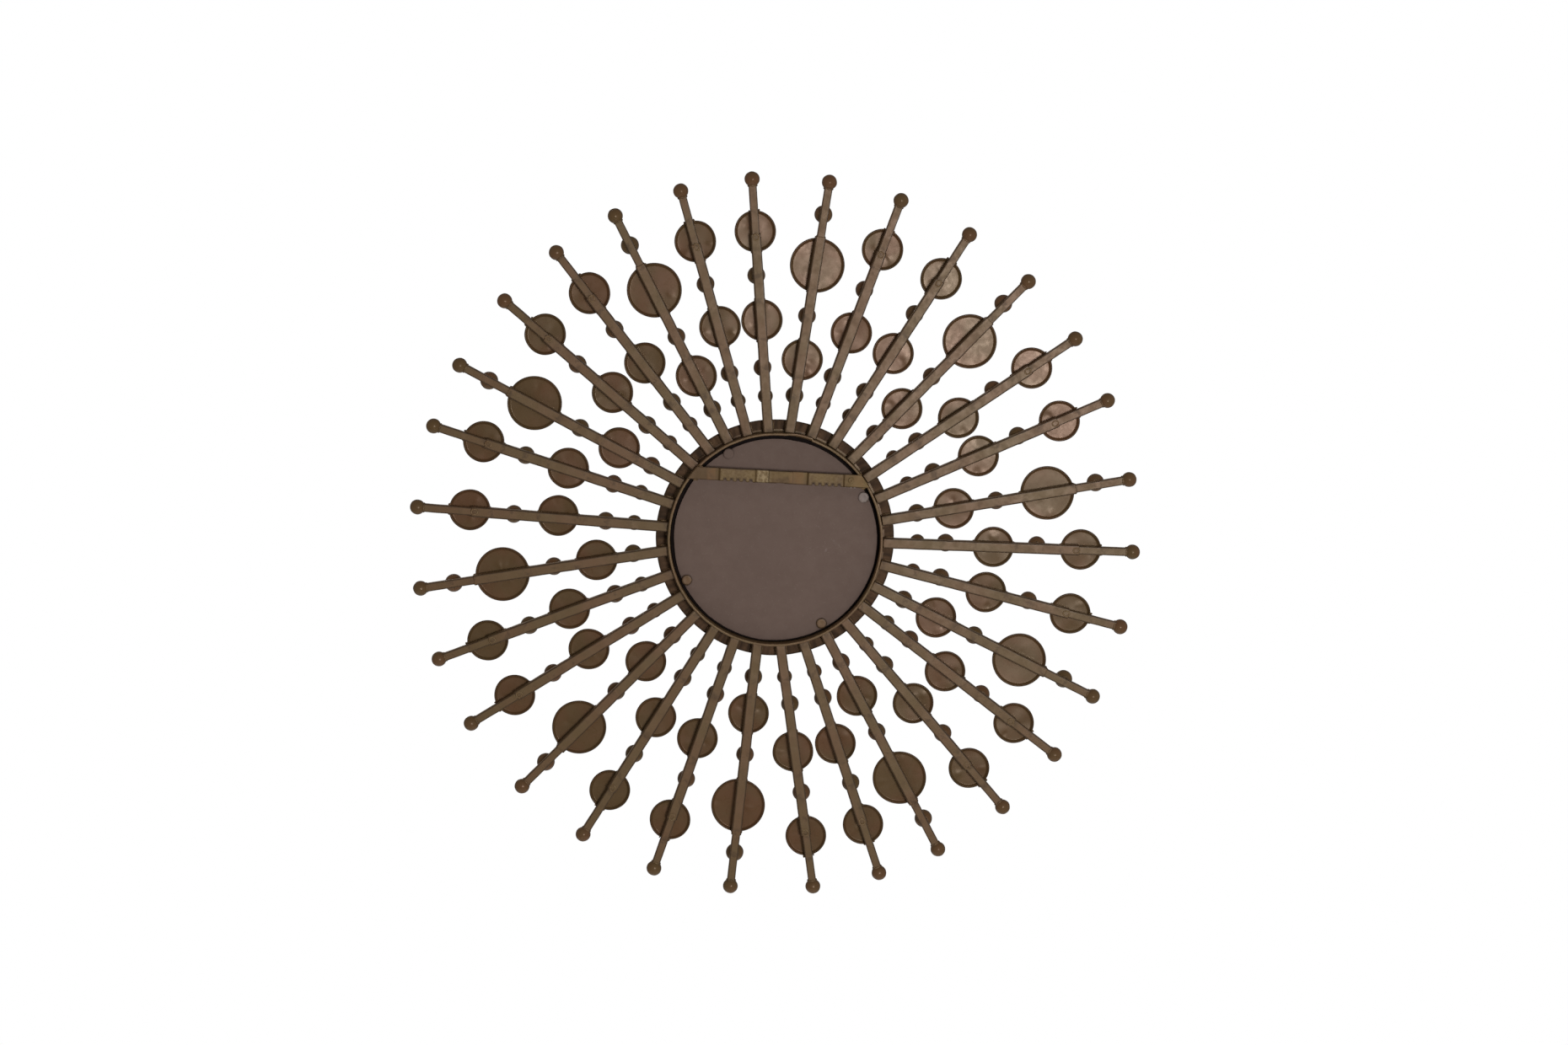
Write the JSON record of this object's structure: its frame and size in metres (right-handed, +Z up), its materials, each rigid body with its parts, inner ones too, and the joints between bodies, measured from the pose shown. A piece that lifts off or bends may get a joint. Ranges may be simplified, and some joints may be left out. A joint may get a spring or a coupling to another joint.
{
  "type": "sunburst wall mirror",
  "caption": "Round wall mirror in a sunburst frame of radiating square rods with balls and shallow round discs, brown painted metal, with a notched hanger strip on its back.",
  "frame": {"origin": "on the rear face of hanger_bar, the bar that meets the wall, 79.4 mm above the hub's centre", "axes": "+Z up, +Y to the wall (the mirror's back), -Y to the room (the mirror faces -Y), +X to the right as seen from the front"},
  "size_m": [0.9153, 0.0496, 0.9124],
  "materials": {
    "brown_steel": "dark brown paint with a bronze sheen, worn and mottled at the welds",
    "bare_button": "light grey, unpainted",
    "backing_board": "matte purple-brown painted hardboard with faint scuffs",
    "mirror_glass": "clear silvered mirror"
  },
  "bodies": {
    "root": {"ring_frame": "brown_steel", "mirror_glass": "mirror_glass", "back_plate": "backing_board", "plate_button_1": "brown_steel", "plate_button_2": "bare_button", "plate_button_3": "brown_steel", "plate_button_4": "brown_steel", "hanger_left": "brown_steel", "hanger_right": "brown_steel", "hanger_bar": "brown_steel", "hanger_rivet": "brown_steel", "ray_01": "brown_steel", "ray_02": "brown_steel", "ray_03": "brown_steel", "ray_04": "brown_steel", "ray_05": "brown_steel", "ray_06": "brown_steel", "ray_07": "brown_steel", "ray_08": "brown_steel", "ray_09": "brown_steel", "ray_10": "brown_steel", "ray_11": "brown_steel", "ray_12": "brown_steel", "ray_13": "brown_steel", "ray_14": "brown_steel", "ray_15": "brown_steel", "ray_16": "brown_steel", "ray_17": "brown_steel", "ray_18": "brown_steel", "ray_19": "brown_steel", "ray_20": "brown_steel", "ray_21": "brown_steel", "ray_22": "brown_steel", "ray_23": "brown_steel", "ray_24": "brown_steel", "ray_25": "brown_steel", "ray_26": "brown_steel", "ray_27": "brown_steel", "ray_28": "brown_steel", "ray_29": "brown_steel", "ray_30": "brown_steel"}
  },
  "joints": []
}
